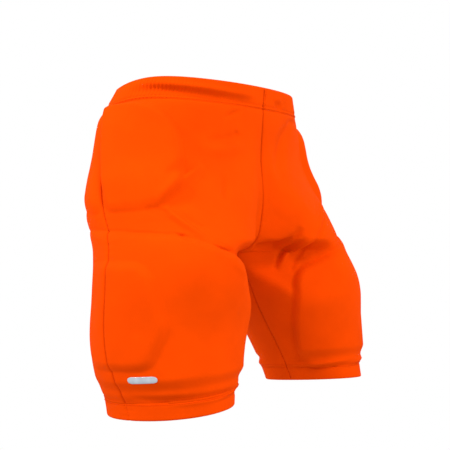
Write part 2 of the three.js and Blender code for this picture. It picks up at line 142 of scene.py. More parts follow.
def form_points(depths, turns):
    middle, half, front, back = outline_at(depths).T[:, :, None]
    depth = depths[:, None]
    above = depth < RISE
    start = np.where(above, np.arccos(np.clip(middle / half, -1, 1)), 0)
    angle = start + (2 * np.pi - 2 * start) * turns
    c, s = np.cos(angle), np.sin(angle)
    x = np.maximum(0, middle - half * np.sign(c) * np.abs(c) ** (2 / ROUNDNESS))
    centre = (front + back) / 2
    out = np.where(above, x / np.maximum(middle, 1e-6), 1 - np.abs(c) ** (2 / ROUNDNESS))
    pinch = GROIN_PINCH * (1 - ease((depth - RISE - 15) / (GROIN_DEPTH - 15)))
    leg = mix(full_round(out), drawn_in(out), np.where(s > 0, pinch, 0))
    inner = np.where(above, turned_under(np.minimum(depth / RISE, 1), out, leg), leg)
    share = np.where(c > 0, inner, np.abs(s) ** (2 / ROUNDNESS))
    y = centre + (np.where(s > 0, front, back) - centre) * share
    y = np.where(s > 0, pressed(x, y, depth, out), y)
    down = (depth - RISE) / (LENGTH - RISE)
    high = WAIST_TILT * y * (1 - ease(depth / RISE)) - depth
    low = (HEM_TILT * (y - centre) + HEM_LEAN * (x - middle)) * down - depth
    return np.stack([x + HALF_GAP, y, np.where(above, high, low)], axis=-1)


# %% A table of the form, evenly spaced along the cloth
TURNS = 480
upper_rows = RISE - RISE * np.linspace(1, 0, 261) ** 2  # crowded towards the crotch
depth_rows = np.concatenate([upper_rows, np.linspace(RISE, LENGTH, 132)[1:]])
raw = form_points(depth_rows, np.linspace(0, 1, TURNS + 1)[None, :])
steps = np.linalg.norm(np.diff(raw, axis=1), axis=2)
along = np.concatenate([np.zeros((len(raw), 1)), np.cumsum(steps, axis=1)], axis=1)
row_width = along[:, -1]
seam_turn = np.where(
    depth_rows > RISE,
    mix(SEAM_TURN["crotch"], SEAM_TURN["hem"], (depth_rows - RISE) / (LENGTH - RISE)),
    mix(SEAM_TURN["waist"], SEAM_TURN["crotch"], np.sin(depth_rows / RISE * np.pi / 2)),
)
columns = np.arange(TURNS + 1)
row_front = np.array([np.interp(t * TURNS, columns, a) for t, a in zip(seam_turn, along)])
even = columns / TURNS
form = np.array(
    [[np.interp(even * w, a, p[:, k]) for k in range(3)] for p, a, w in zip(raw, along, row_width)]
).transpose(0, 2, 1)
print("half girth at waist, crotch and hem:", np.round(row_width[[0, 260, -1]]), "mm")

# %% [markdown]
# A pad or a fold moves cloth along the direction that points out of the body. That direction is
# the cross product of "down the cloth" and "round the cloth". Above the crotch the two halves
# mirror each other at the centre line, and below it a row closes on itself at the inseam, so the
# edges borrow their neighbours from there.

# %% The direction out of the body
MIRROR = np.array([-1, 1, 1])
legs = (depth_rows >= RISE)[:, None, None]
before = np.where(legs, form[:, -2:-1], form[:, 1:2] * MIRROR)
after = np.where(legs, form[:, 1:2], form[:, -2:-1] * MIRROR)
wide = np.concatenate([before, form, after], axis=1)
round_it = wide[:, 2:] - wide[:, :-2]
normals = np.cross(np.gradient(form, axis=0), round_it)
normals /= np.linalg.norm(normals, axis=2, keepdims=True) + 1e-12
for _ in range(4):
    normals[1:-1] = (normals[:-2] + 2 * normals[1:-1] + normals[2:]) / 4
    normals[:, 1:-1] = (normals[:, :-2] + 2 * normals[:, 1:-1] + normals[:, 2:]) / 4
normals[depth_rows < RISE, 0, 0] = normals[depth_rows < RISE, -1, 0] = 0
normals /= np.linalg.norm(normals, axis=2, keepdims=True) + 1e-12


def front_of(depth):
    return np.interp(depth, depth_rows, row_front)


def back_of(depth):
    return np.interp(depth, depth_rows, row_width - row_front)


def across_at(share, depth):
    """Across, at a share of the row from its front edge (0) to its back edge (1)."""
    return share * (front_of(depth) + back_of(depth)) - front_of(depth)


def read_table(values, across, depth):
    across, depth = np.broadcast_arrays(np.asarray(across, float), np.asarray(depth, float))
    row = np.interp(depth, depth_rows, np.arange(len(depth_rows)))
    share = (across + front_of(depth)) / (front_of(depth) + back_of(depth))
    column = np.clip(share, 0, 1) * TURNS
    i = np.minimum(row.astype(int), len(depth_rows) - 2)
    j = np.minimum(column.astype(int), TURNS - 1)
    a, b = (row - i)[..., None], (column - j)[..., None]
    top = mix(values[i, j], values[i, j + 1], b)
    return mix(top, mix(values[i + 1, j], values[i + 1, j + 1], b), a)


LEFT_SET = np.array([11.0, -12.0, 0.0])  # the left leg stands this much further out and forward
LEFT_SLIM = {"thigh": 0.11, "at": 240, "reach": 34, "hem": 0.13}  # and is this much slimmer
WAIST_SAG = {"low": 15, "across": 10, "reach": 62}  # the band has slipped down behind the right hip


def slimmed(point, depth):
    """Draws a leg in towards its own axis."""
    middle, _, front, back = outline_at(depth.ravel()).T.reshape(4, *depth.shape)
    axis = np.stack([middle, (front + back) / 2, depth * 0], axis=-1)
    from_axis = (point - axis) * [1, 1, 0]
    top = LEFT_SLIM["thigh"] * np.exp(-(((depth - LEFT_SLIM["at"]) / LEFT_SLIM["reach"]) ** 2))
    top = top * ease(point[..., 0] / middle)
    low = LEFT_SLIM["hem"] * ease((depth - 300) / (LENGTH - 300))
    return point - from_axis * (top + low)[..., None]


def set_leg(point, depth, side):
    """Metres, with the right half mirrored and the left leg set as it is worn."""
    depth = np.clip(depth, 0, LENGTH)
    side = np.asarray(side)[..., None]
    down = ease((depth - RISE + 20) / (LENGTH - RISE + 20))[..., None]
    left_point = slimmed(point, depth) + LEFT_SET * down
    return np.where(side > 0, left_point, point * MIRROR) * MM


def sag(across, depth, side):
    """How far the cloth of the right half has slipped down near the waist."""
    place = np.exp(-(((across - WAIST_SAG["across"]) / WAIST_SAG["reach"]) ** 2))
    return np.where(side < 0, WAIST_SAG["low"] * place * (1 - ease((depth - 15) / 60)), 0)


def on_cloth(across, depth, off, side):
    """Metres: the place of the cloth, off millimetres out from the form. side is 1 or -1."""
    out = read_table(normals, across, depth)
    out /= np.linalg.norm(out, axis=-1, keepdims=True)
    point = read_table(form, across, depth) + out * np.asarray(off)[..., None]
    point[..., 0] = np.maximum(point[..., 0], 0)
    point[..., 2] -= sag(across, depth, np.asarray(side))
    return set_leg(point, np.asarray(depth, float), side)


# %% [markdown]
# ## Where the pads lie
# Each pad is a flat outline with rounded corners, laid on the cloth. The shell is lifted over it:
# a sewn-in pad has a fairly crisp foot, a rounded shoulder and a level face, and the stretched
# cloth lands a little way outside it. A signed distance to the outline gives all of that at once.


# %% Pad outlines
def rounded(corners, arc_steps=8):
    """An outline with each [across, depth, radius] corner turned into a short arc."""
    points = []
    t = np.linspace(0, 1, arc_steps + 1)[:, None]
    for k, (a, d, radius) in enumerate(corners):
        corner = np.array([a, d], float)
        back = np.array(corners[k - 1][:2], float) - corner
        on = np.array(corners[(k + 1) % len(corners)][:2], float) - corner
        back, on = back / np.linalg.norm(back), on / np.linalg.norm(on)
        reach = radius / math.tan(math.acos(np.clip(back @ on, -1, 1)) / 2)
        start, end = corner + back * reach, corner + on * reach
        points.append((1 - t) ** 2 * start + 2 * t * (1 - t) * corner + t**2 * end)
    return np.concatenate(points)


THIGH_TOP, THIGH_LOW = RISE - 24, LENGTH - 30
OUTER_TOP, OUTER_LOW = RISE + 12, LENGTH - 64
PADS = {
    "hip": dict(
        thick=11,
        foot=4.5,
        slope=13,
        crease=0.3,
        outline=rounded([(-8, 36, 12), (-116, 33, 72), (-115, 172, 64), (-8, 180, 14)]),
    ),
    "rear_hip": dict(
        thick=9,
        foot=9,
        slope=24,
        crease=0.3,
        outline=rounded([(8, 48, 14), (8, 179, 14), (88, 169, 34), (88, 60, 34)]),
    ),
    "tail": dict(
        thick=10,
        foot=4.5,
        slope=14,
        crease=0.3,
        outline=rounded([(54, 66, 24), (-54, 66, 24), (-32, 185, 24), (32, 185, 24)]),
    ),
    "thigh": dict(
        thick=9,
        foot=8,
        slope=12,
        crease=1.0,
        outline=rounded(
            [
                (78, THIGH_TOP, 28),
                (-98, THIGH_TOP + 6, 56),
                (-244, RISE + 34, 28),
                (-230, THIGH_LOW + 4, 28),
                (78, THIGH_LOW - 2, 28),
            ]
        ),
    ),
    "outer": dict(
        thick=5,
        foot=4,
        slope=12,
        crease=0.15,
        outline=rounded(
            [
                (50, OUTER_TOP, 24),
                (-54, OUTER_TOP, 24),
                (-76, mix(OUTER_TOP, OUTER_LOW, 0.62), 34),
                (-52, OUTER_LOW, 24),
                (50, OUTER_LOW, 24),
            ]
        ),
    ),
}
print("pads:", {n: np.round(np.ptp(p["outline"], axis=0)).tolist() for n, p in PADS.items()}, "mm")


# %% How far inside an outline a place lies
FAR_OUTSIDE = 60.0  # no one asks for distances beyond this


def inside(outline, across, depth):
    """Distance to the outline in millimetres, positive inside it."""
    across, depth = np.broadcast_arrays(np.asarray(across, float), np.asarray(depth, float))
    low, high = outline.min(axis=0) - FAR_OUTSIDE, outline.max(axis=0) + FAR_OUTSIDE
    close = (across > low[0]) & (across < high[0]) & (depth > low[1]) & (depth < high[1])
    result = np.full(across.shape, -FAR_OUTSIDE, float)
    across, depth = across[close], depth[close]
    nearest = np.full(across.shape, np.inf)
    within = np.zeros(across.shape, bool)
    for (pa, pd), (qa, qd) in zip(outline, np.roll(outline, -1, axis=0)):
        da, dd = qa - pa, qd - pd
        t = np.clip(((across - pa) * da + (depth - pd) * dd) / (da * da + dd * dd + 1e-9), 0, 1)
        nearest = np.minimum(nearest, np.hypot(across - pa - t * da, depth - pd - t * dd))
        crosses = (pd > depth) != (qd > depth)
        within ^= crosses & (across < pa + (depth - pd) / (dd if dd else 1e-9) * da)
    result[close] = np.where(within, nearest, -nearest)
    return np.maximum(result, -FAR_OUTSIDE)


# %% [markdown]
# ## Pads and folds in the shell
# The folds of worn stretch cloth are few and have a cause: it is pulled tight from pad to pad, it
# creases at the groin, and it bunches between the thigh pad and the hem. Each one is drawn here
# as a line on the cloth with a width and a height. A negative height is a valley.

# %% Lift over the pads
EASE = 1.4  # room between a pad and the cloth over it
CREASE_WIDE = 2.4  # the stitched edge of a pocket sinks in beside the pad
SKIRT = 0.13  # share of the lift that is left where the tight cloth leaves the pad
SKIRT_REACH = 11


def thinned(name, across, depth):
    """Share of its full thickness that a pad has at a place: pads thin out towards some edges."""
    if name == "hip":
        return mix(1, 0.4, ease((depth - 138) / 40))
    if name == "rear_hip":
        return mix(0.25, 0.7, ease((depth - 80) / 110))
    if name == "thigh":
        down = mix(0.55, 1, ease((depth - THIGH_TOP) / 62)) * mix(1, 0.3, ease((depth - 382) / 16))
        return down * mix(1, 0.5, ease((across + 10) / 75))
    if name == "outer":
        return mix(1, 0.15, ease((across + 8) / 50))
    return np.ones(across.shape)


def lift_over(name, across, depth, place=None):
    """place is where the pad's own outline is asked, if that isn't the cloth's across."""
    pad = PADS[name]
    gap = inside(pad["outline"], across if place is None else place, depth) + pad["foot"]
    t = np.clip(gap / pad["slope"], 0, 1)
    skirt = SKIRT * np.exp(np.minimum(gap, 0) / SKIRT_REACH)
    full = pad["thick"] * thinned(name, across, depth) + EASE
    crease = pad["crease"] * np.exp(-((gap / CREASE_WIDE) ** 2)) * np.minimum(full / 5, 1)
    return full * mix(skirt, 1, (1 - (1 - t) ** 2) ** 1.2) - crease


def pads_lift(across, depth):
    lifts = [lift_over(n, across, depth) for n in ("hip", "rear_hip", "thigh")]
    lifts.append(lift_over("tail", across, depth, back_of(depth) - across))
    return np.max(lifts, axis=0) + lift_over("outer", across, depth)


# %% Folds, as (side, width, height, line on the cloth)
FOLDS = [
    # tight ridge from the lower front corner of the right hip pad
    ("right", 6.0, 3.4, [(-146, 116), (-114, 143), (-97, 158), (-78, 174)]),
    ("right", 5.0, -1.6, [(-124, 112), (-108, 130), (-92, 143)]),
    ("right", 5.5, -2.2, [(-128, 150), (-112, 166), (-96, 180)]),
    ("right", 3.6, -2.2, [(-66, 178), (-84, 182), (-96, 184)]),
    # pair of folds running on to the groin
    ("right", 3.4, -2.8, [(-80, 180), (-93, 196), (-103, 212), (-112, 222)]),
    ("right", 4.2, 2.6, [(-88, 175), (-106, 194), (-128, 213)]),
    ("right", 4.5, -1.2, [(-102, 178), (-122, 196), (-140, 211)]),
    ("right", 4.0, -2.6, [(-132, 208), (-150, 227), (-166, 233)]),
    ("right", 4.0, 1.6, [(-158, 236), (-160, 248), (-176, 264)]),
    # soft creases across the front
    ("right", 5.0, -1.3, [(-175, 121), (-178, 140), (-174, 170)]),
    ("right", 3.0, -1.5, [(-180, 50), (-198, 42), (-216, 34)]),
    ("right", 6.0, -1.3, [(-155, 84), (-182, 80), (-210, 71)]),
    ("right", 4.0, -1.2, [(-202, 66), (-207, 75)]),
    ("right", 9.0, 1.4, [(-140, 96), (-185, 94), (-222, 84)]),
    # bunching between the thigh pad and the hem
    ("right", 3.4, -2.6, [(-12, 404), (-56, 407), (-110, 409), (-190, 411)]),
    ("right", 3.2, 2.2, [(-60, 413), (-120, 414), (-200, 409), (-250, 404)]),
    ("right", 2.6, -1.4, [(-120, 418), (-180, 416), (-235, 411)]),
    # left groin: one deep crease, and shorter ones fanning out from it
    ("left", 5.0, -4.4, [(-312, 229), (-272, 226), (-247, 214), (-232, 200)]),
    ("left", 5.0, 3.2, [(-214, 212), (-236, 226), (-254, 240), (-270, 262)]),
    ("left", 3.6, -2.8, [(-231, 214), (-262, 239), (-277, 264)]),
    ("left", 3.2, -2.4, [(-214, 222), (-243, 250), (-252, 268)]),
    ("left", 3.4, -2.0, [(-165, 182), (-202, 210), (-222, 230)]),
    ("left", 6.0, 1.8, [(-130, 156), (-168, 180), (-205, 203)]),
    ("left", 11.0, -3.0, [(-160, 30), (-205, 66), (-230, 112), (-236, 150)]),
    ("left", 6.0, -2.0, [(-120, 36), (-150, 37), (-185, 36)]),
    # bunching above the left hem
    ("left", 3.2, -2.6, [(-252, 413), (-214, 415), (-173, 409), (-110, 402)]),
    ("left", 3.2, 2.2, [(-262, 407), (-214, 408), (-150, 406), (-80, 403)]),
    ("left", 2.8, -1.6, [(-266, 420), (-213, 422), (-120, 416)]),
    # both sides, where no one looks first: seat and back of the thigh
    ("both", 5.0, -2.6, [(150, 214), (205, 222), (262, 226), (318, 229)]),
    ("both", 5.0, 1.8, [(170, 204), (225, 211), (280, 214)]),
    ("both", 4.5, -1.8, [(108, 196), (140, 214), (176, 240)]),
    ("both", 4.0, -1.6, [(100, 392), (150, 400), (205, 396)]),
    ("both", 3.5, 1.3, [(90, 404), (150, 408), (220, 402)]),
    ("both", 7.0, -1.8, [(112, 60), (118, 110), (106, 160)]),
    ("both", 4.0, -1.5, [(100, 262), (150, 268), (200, 262)]),
]
BULGES = [  # side, (across, depth), (half width, half height), height
    ("both", (-232, 176), (48, 58), 5.0),
    ("left", (120, 150), (80, 90), 3.0),
    ("both", (-60, 205), (70, 16), -1.6),
    ("both", (76, 190), (60, 20), 4.5),
    ("right", (60, 352), (70, 40), 3.5),
    ("right", (-236, 350), (46, 40), 4.5),
    ("left", (-95, 228), (70, 18), -2.0),
]
FOLD_GAIN = 1.7


def fold_height(width, height, line, across, depth):
    """A bump along a line on the cloth that dies out at the line's two ends."""
    line = np.array(line, float)
    lengths = np.linalg.norm(np.diff(line, axis=0), axis=1)
    starts = np.concatenate([[0], np.cumsum(lengths)])
    nearest, place = np.full(across.shape, np.inf), np.zeros(across.shape)
    for (pa, pd), (qa, qd), length, begun in zip(line, line[1:], lengths, starts):
        t = np.clip(
            ((across - pa) * (qa - pa) + (depth - pd) * (qd - pd)) / length**2, 0, 1
        )
        far = np.hypot(across - pa - t * (qa - pa), depth - pd - t * (qd - pd))
        place = np.where(far < nearest, (begun + t * length) / starts[-1], place)
        nearest = np.minimum(nearest, far)
    taper = 1 - np.abs(2 * place - 1) ** 2.5
    return height * taper * np.exp(-((nearest / width) ** 2))


def folds(across, depth, side):
    name = "left" if side > 0 else "right"
    total = np.zeros(across.shape)
    for which, width, height, line in FOLDS:
        if which in (name, "both"):
            total += FOLD_GAIN * fold_height(width, height, line, across, depth)
    for which, (a, d), (half_a, half_d), height in BULGES:
        if which in (name, "both"):
            total += height * np.exp(-(((across - a) / half_a) ** 2 + ((depth - d) / half_d) ** 2))
    return total


# %% [markdown]
# Sewing leaves its own marks. Both edges of a seam sink into a narrow groove, and the cloth beside
# it puckers a little with each few stitches. A slow, faint noise keeps large areas from looking
# machined. The noise is a fixed function of place, so every run gives the same cloth.

# %% Seam grooves, puckers and the whole offset of the shell
GROOVE_DEEP, GROOVE_WIDE = 1.3, 1.5
PUCKER, PUCKER_LENGTH, PUCKER_REACH = 0.22, 7.5, 7.0


OVER_LINING, FREE_DEPTH = -0.7, 12  # a valley's limit over a pocket, and how much lower elsewhere
UNEVEN = [(0.7, 42, 3), (0.2, 13, 5)]  # height, size and seed of the slow noise
HEM_FADE, BAND_FADE = 6, 9  # lifts die out over this much cloth beside the hem and the band
BAND_STEP, BAND_STEP_WIDE = 1.0, 1.8  # the shell dips where it goes under the band


def seam_marks(from_seam, down_seam):
    groove = -GROOVE_DEEP * np.exp(-((from_seam / GROOVE_WIDE) ** 2))
    wave = np.sin(down_seam * 2 * np.pi / PUCKER_LENGTH + 1.3 * np.sin(down_seam / 23))
    return groove + PUCKER * wave * np.exp(-np.abs(from_seam) / PUCKER_REACH)


def slow_noise(across, depth, side, size, seed):
    flat = zip(across.ravel() / size, depth.ravel() / size)
    values = [noise.noise(Vector((a, d, seed + 7 * side))) for a, d in flat]
    return np.array(values).reshape(across.shape)


def shell_off(across, depth, side):
    """How far the shell's outer face stands off the form."""
    lift = pads_lift(across, depth)
    off = lift + folds(across, depth, side)
    for height, size, seed in UNEVEN:
        off += height * slow_noise(across, depth, side, size, seed)
    # a valley over a pocket stops above its lining
    off = np.maximum(off, OVER_LINING - FREE_DEPTH * ease((0.2 - lift) / 0.4))
    to_front, to_back = across + front_of(depth), back_of(depth) - across
    off *= ease((LENGTH - depth) / (HEM_HEIGHT + HEM_FADE)) * ease((depth - BAND_HEIGHT) / BAND_FADE)
    marks = seam_marks(across, depth) + seam_marks(to_front, depth) + seam_marks(to_back, depth)
    below_band = BAND_STEP * np.exp(-(((depth - BAND_HEIGHT) / BAND_STEP_WIDE) ** 2))
    return off + marks - below_band


# %% [markdown]
# ## Finishes
# Every finish is a small node tree. The shell is a fine warp knit in a fluorescent orange: a matte
# base with a soft sheen in its own colour, rows of loops in the bump, and a slight change of
# shade from place to place. The loops follow the cloth, so they read the piece's own `cloth` UV
# map, which holds across and depth in metres. The constant numbers sit on the shader's sockets.


# %% Node helpers
def nodes_of(name):
    material = bpy.data.materials.new(name)
    material.use_nodes = True
    tree = material.node_tree
    return material, tree, tree.nodes["Principled BSDF"]


def node(tree, kind, inputs=(), **settings):
    made = tree.nodes.new(kind)
    for key, value in settings.items():
        setattr(made, key, value)
    for key, value in dict(inputs).items():
        if isinstance(value, bpy.types.NodeSocket):
            tree.links.new(value, made.inputs[key])
        else:
            made.inputs[key].default_value = value
    return made


def maths(tree, operation, a, b=0.0):
    return node(tree, "ShaderNodeMath", {0: a, 1: b}, operation=operation).outputs[0]


def blend_colours(tree, share, first, second):
    made = node(tree, "ShaderNodeMix", data_type="RGBA")
    tree.links.new(share, made.inputs[0])
    for socket, value in ((made.inputs[6], first), (made.inputs[7], second)):
        if isinstance(value, bpy.types.NodeSocket):
            tree.links.new(value, socket)
        else:
            socket.default_value = (*value, 1)
    return made.outputs[2]


def blotches(tree, scale, low=0.35, high=0.65, detail=3.0):
    """Soft noise from 0 to 1 on object coordinates."""
    place = node(tree, "ShaderNodeTexCoord").outputs["Object"]
    cloud = node(tree, "ShaderNodeTexNoise", {"Vector": place, "Scale": scale, "Detail": detail})
    spread = {"Value": cloud.outputs["Fac"], "From Min": low, "From Max": high}
    return node(tree, "ShaderNodeMapRange", spread).outputs["Result"]


def cloth_axes(tree):
    """Across and depth in metres, from the piece's cloth UV map."""
    uv = node(tree, "ShaderNodeUVMap", uv_map="cloth").outputs["UV"]
    split = node(tree, "ShaderNodeSeparateXYZ", {0: uv})
    return split.outputs["X"], split.outputs["Y"]


def waves(tree, length, spacing, shift=0.0):
    turned = maths(tree, "MULTIPLY", length, 2 * math.pi / spacing)
    return maths(tree, "SINE", maths(tree, "ADD", turned, shift))


def bump(tree, height, strength, distance):
    inputs = {"Height": height, "Strength": strength, "Distance": distance}
    return node(tree, "ShaderNodeBump", inputs).outputs["Normal"]


def fabric_sockets(shader, roughness, sheen, tint):
    shader.inputs["Roughness"].default_value = roughness
    shader.inputs["Specular IOR Level"].default_value = 0.01
    shader.inputs["Sheen Weight"].default_value = sheen
    shader.inputs["Sheen Roughness"].default_value = 0.45
    shader.inputs["Sheen Tint"].default_value = (*tint, 1)


# %% Fluorescent orange knits
ORANGE = (0.66, 0.0465, 0.0)
ORANGE_DEEP = (0.61, 0.0425, 0.0)


def knit(name, wale, course, relief, rib=0.0, first=ORANGE, second=ORANGE_DEEP):
    material, tree, shader = nodes_of(name)
    across, depth = cloth_axes(tree)
    wales = waves(tree, across, wale)
    zigzag = maths(tree, "MULTIPLY", waves(tree, across, wale / 2), 0.8)
    courses = waves(tree, depth, course, zigzag)
    loops = maths(tree, "ADD", wales, maths(tree, "MULTIPLY", courses, 0.6))
    if rib:
        loops = maths(tree, "ADD", loops, maths(tree, "MULTIPLY", waves(tree, across, rib), 1.6))
    fuzz = blotches(tree, 1400, 0.3, 0.7, 2.0)
    relief_height = maths(tree, "ADD", loops, fuzz)
    colour = blend_colours(tree, blotches(tree, 22), first, second)
    grain = maths(tree, "MULTIPLY", maths(tree, "ADD", loops, 2.0), 0.035)
    colour = blend_colours(tree, grain, colour, second)
    tree.links.new(colour, shader.inputs["Base Color"])
    tree.links.new(bump(tree, relief_height, relief, 0.00012), shader.inputs["Normal"])
    fabric_sockets(shader, 0.82, 0.12, (1.0, 0.14, 0.0))
    return material


shell_knit = knit("shell knit", 0.0011, 0.0009, 0.35)
band_knit = knit("band knit", 0.0010, 0.0009, 0.4, rib=0.0034)
print("knits:", shell_knit.name, "and", band_knit.name)


# %% Thread, foam, lining, elastic and film
def twisted_thread():
    material, tree, shader = nodes_of("sewing thread")
    across, depth = cloth_axes(tree)
    twist = waves(tree, maths(tree, "ADD", across, depth), 0.0006)
    colour = blend_colours(tree, blotches(tree, 90), (0.60, 0.034, 0.0004), (0.52, 0.025, 0.0003))
    tree.links.new(colour, shader.inputs["Base Color"])
    tree.links.new(bump(tree, twist, 0.4, 0.00015), shader.inputs["Normal"])
    fabric_sockets(shader, 0.55, 0.1, (1.0, 0.3, 0.05))
    return material


def cell_foam():
    material, tree, shader = nodes_of("closed cell foam")
    place = node(tree, "ShaderNodeTexCoord").outputs["Object"]
    cells = node(tree, "ShaderNodeTexVoronoi", {"Vector": place, "Scale": 900.0})
    colour = blend_colours(tree, blotches(tree, 60), (0.024, 0.025, 0.027), (0.040, 0.041, 0.044))
    tree.links.new(colour, shader.inputs["Base Color"])
    pores = maths(tree, "POWER", cells.outputs["Distance"], 0.7)
    tree.links.new(bump(tree, pores, 0.5, 0.0003), shader.inputs["Normal"])
    shader.inputs["Roughness"].default_value = 0.9
    shader.inputs["Specular IOR Level"].default_value = 0.3
    return material


def lining_net():
    material, tree, shader = nodes_of("lining net")
    across, depth = cloth_axes(tree)
    holes = maths(tree, "MULTIPLY", waves(tree, across, 0.0024), waves(tree, depth, 0.0024))
    # The holes are not cut out. Where they open, the colour is painted a dark shaded orange, which is
    # painted shade seen through them, and the bump sinks them.
    holes_and_painted_shade = maths(tree, "MAXIMUM", holes, 0.0)
    yarn = blend_colours(tree, blotches(tree, 70), (0.56, 0.050, 0.001), (0.50, 0.042, 0.001))
    tree.links.new(blend_colours(tree, holes_and_painted_shade, yarn, (0.06, 0.010, 0.003)), shader.inputs["Base Color"])
    tree.links.new(bump(tree, maths(tree, "MULTIPLY", holes_and_painted_shade, -1.0), 0.6, 0.0004), shader.inputs["Normal"])
    fabric_sockets(shader, 0.8, 0.2, (1.0, 0.14, 0.0))
    return material


def woven_elastic():
    material, tree, shader = nodes_of("woven elastic")
    across, depth = cloth_axes(tree)
    ribs = waves(tree, depth, 0.0019)
    yarns = maths(tree, "ADD", ribs, maths(tree, "MULTIPLY", waves(tree, across, 0.0008), 0.5))
    colour = blend_colours(tree, blotches(tree, 50), (0.66, 0.64, 0.60), (0.56, 0.54, 0.50))
    tree.links.new(colour, shader.inputs["Base Color"])
    tree.links.new(bump(tree, yarns, 0.5, 0.0003), shader.inputs["Normal"])
    fabric_sockets(shader, 0.75, 0.1, (1.0, 1.0, 1.0))
    return material


def bead_film():
    material, tree, shader = nodes_of("reflective film")
    place = node(tree, "ShaderNodeTexCoord").outputs["Object"]
    beads = node(tree, "ShaderNodeTexVoronoi", {"Vector": place, "Scale": 2200.0})
    colour = blend_colours(tree, blotches(tree, 120), (0.37, 0.40, 0.45), (0.31, 0.34, 0.39))
    tree.links.new(colour, shader.inputs["Base Color"])
    tree.links.new(bump(tree, beads.outputs["Distance"], 0.25, 0.0001), shader.inputs["Normal"])
    shader.inputs["Roughness"].default_value = 0.38
    shader.inputs["Specular IOR Level"].default_value = 0.5
    shader.inputs["Coat Weight"].default_value = 0.2
    return material


thread, foam, net = twisted_thread(), cell_foam(), lining_net()
elastic, film = woven_elastic(), bead_film()

# %% [markdown]
# ## Cloth laid over the form
# A piece of cloth starts as a flat grid. Each point of the grid is given a place on the cloth, and
# from there a place in space. Hand-placed loops would give the same sheet with more work, and a
# plain shrinkwrap would lose track of where the pads and seams belong. The grid's own two
# directions also give the UV map for the knit.

# %% Lay a grid on the form
SIDES = {"left": 1, "right": -1}


def lay_grid(columns, rows, place, reverse=False, weld=False):
    """place takes u and v from 0 to 1, and gives points in metres, across and depth."""
    bm = bmesh.new()
    bmesh.ops.create_grid(bm, x_segments=columns, y_segments=rows, size=0.5)
    flat = np.array([v.co[:2] for v in bm.verts]) + 0.5
    points, across, depth = place(flat[:, 0], flat[:, 1])
    uv = bm.loops.layers.uv.new("cloth")
    bm.verts.index_update()
    for face in bm.faces:
        for loop in face.loops:
            i = loop.vert.index
            loop[uv].uv = (across[i] * MM, depth[i] * MM)
    for vert, point in zip(bm.verts, points):
        vert.co = point
    if weld:
        bmesh.ops.remove_doubles(bm, verts=bm.verts, dist=1e-6)
    if reverse:
        bmesh.ops.reverse_faces(bm, faces=bm.faces)
    return bm


def piece(name, bm, material, wall=0.0):
    """Turns a bmesh into a finished object, with a wall of that many millimetres inwards."""
    mesh = bpy.data.meshes.new(name)
    bm.to_mesh(mesh)
    bm.free()
    mesh.polygons.foreach_set("use_smooth", [True] * len(mesh.polygons))
    mesh.materials.append(material)
    obj = bpy.data.objects.new(name, mesh)
    bpy.context.scene.collection.objects.link(obj)
    if wall:
        thick = obj.modifiers.new("wall", "SOLIDIFY")
        thick.thickness, thick.offset = wall * MM, -1
    return obj


# %% [markdown]
# The shorts bend at the hips, but nothing here makes the pieces that cross a hip follow the pelvis
# or a leg: each of them only has its place baked into its mesh.


def bend_with(obj):
    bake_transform(obj)


# %% The four panels of the shell
FABRIC = 1.2
TUCK = 1.0  # the shell runs this far under the waistband
ROWS_ABOVE, ROWS_BELOW = 112, 84
PANEL_COLUMNS = {"front": 126, "back": 108}


def panel_depth(v):
    """Rows crowd together towards the crotch, where the cloth turns under the body."""
    row = (1 - v) * (ROWS_ABOVE + ROWS_BELOW)
    top, low = BAND_HEIGHT - TUCK, LENGTH - HEM_HEIGHT + TUCK
    above = RISE - (RISE - top) * np.clip(1 - row / ROWS_ABOVE, 0, 1) ** 1.6
    return np.where(row < ROWS_ABOVE, above, mix(RISE, low, (row - ROWS_ABOVE) / ROWS_BELOW))


def shell_panel(part, side_name):
    side = SIDES[side_name]

    def place(u, v):
        depth = panel_depth(v)
        across = -front_of(depth) * (1 - u) if part == "front" else back_of(depth) * u
        return on_cloth(across, depth, shell_off(across, depth, side), side), across, depth

    rows = ROWS_ABOVE + ROWS_BELOW
    bm = lay_grid(PANEL_COLUMNS[part], rows, place, reverse=side < 0)
    made = piece(f"shell_{part}_{side_name}", bm, shell_knit, FABRIC)
    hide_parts(f"{part}_panel_{side_name}")
    bend_with(made)
    return made


shell = [shell_panel(part, name) for part in PANEL_COLUMNS for name in SIDES]
print("shell:", {o.name: len(o.data.polygons) for o in shell})

# %% [markdown]
# ## Waistband and hems
# The waistband is one strip folded over a wide elastic. Where the elastic is not stretched the
# strip gathers into fine upright ripples, and at the front it has slumped into a long hollow. The
# hems are narrower folds. Both are closed rings, so their grid is welded where its ends meet. A
# swept curve with a bevel could make such a ring too, but a grid keeps the ripples and the UV.


# %% A point off the form that stays level with its row
def on_ring(share, depth, off, side):
    across = across_at(share, depth)
    reach = 3.0
    first = read_table(form, np.maximum(across - reach, -front_of(depth)), depth)
    last = read_table(form, np.minimum(across + reach, back_of(depth)), depth)
    down = np.maximum(0, (depth - RISE) / (LENGTH - RISE))
    slope = np.where(depth < RISE, WAIST_TILT * (1 - ease(depth / RISE)), 0)
    up = np.stack([-HEM_LEAN * down, -HEM_TILT * down - slope, np.ones_like(down)], axis=-1)
    out = np.cross(last - first, up)
    centre = (depth < RISE) & ((share < 1e-6) | (share > 1 - 1e-6))
    out[centre, 0] = 0
    out /= np.linalg.norm(out, axis=-1, keepdims=True)
    point = read_table(form, across, depth) + out * np.asarray(off)[..., None]
    point[..., 2] -= sag(across, depth, np.asarray(side))
    return set_leg(point, depth, side), across


# %% The fold of cloth over an elastic
FOLD_ROOM = 0.5
RELIEF_FADE = 0.1
WAIST_TAPE = {"height": 26, "thick": 1.4}
HEM_TAPE = {"height": 14, "thick": 1.0}


def fold_thickness(tape):
    return 2 * (FABRIC + FOLD_ROOM) + tape["thick"]


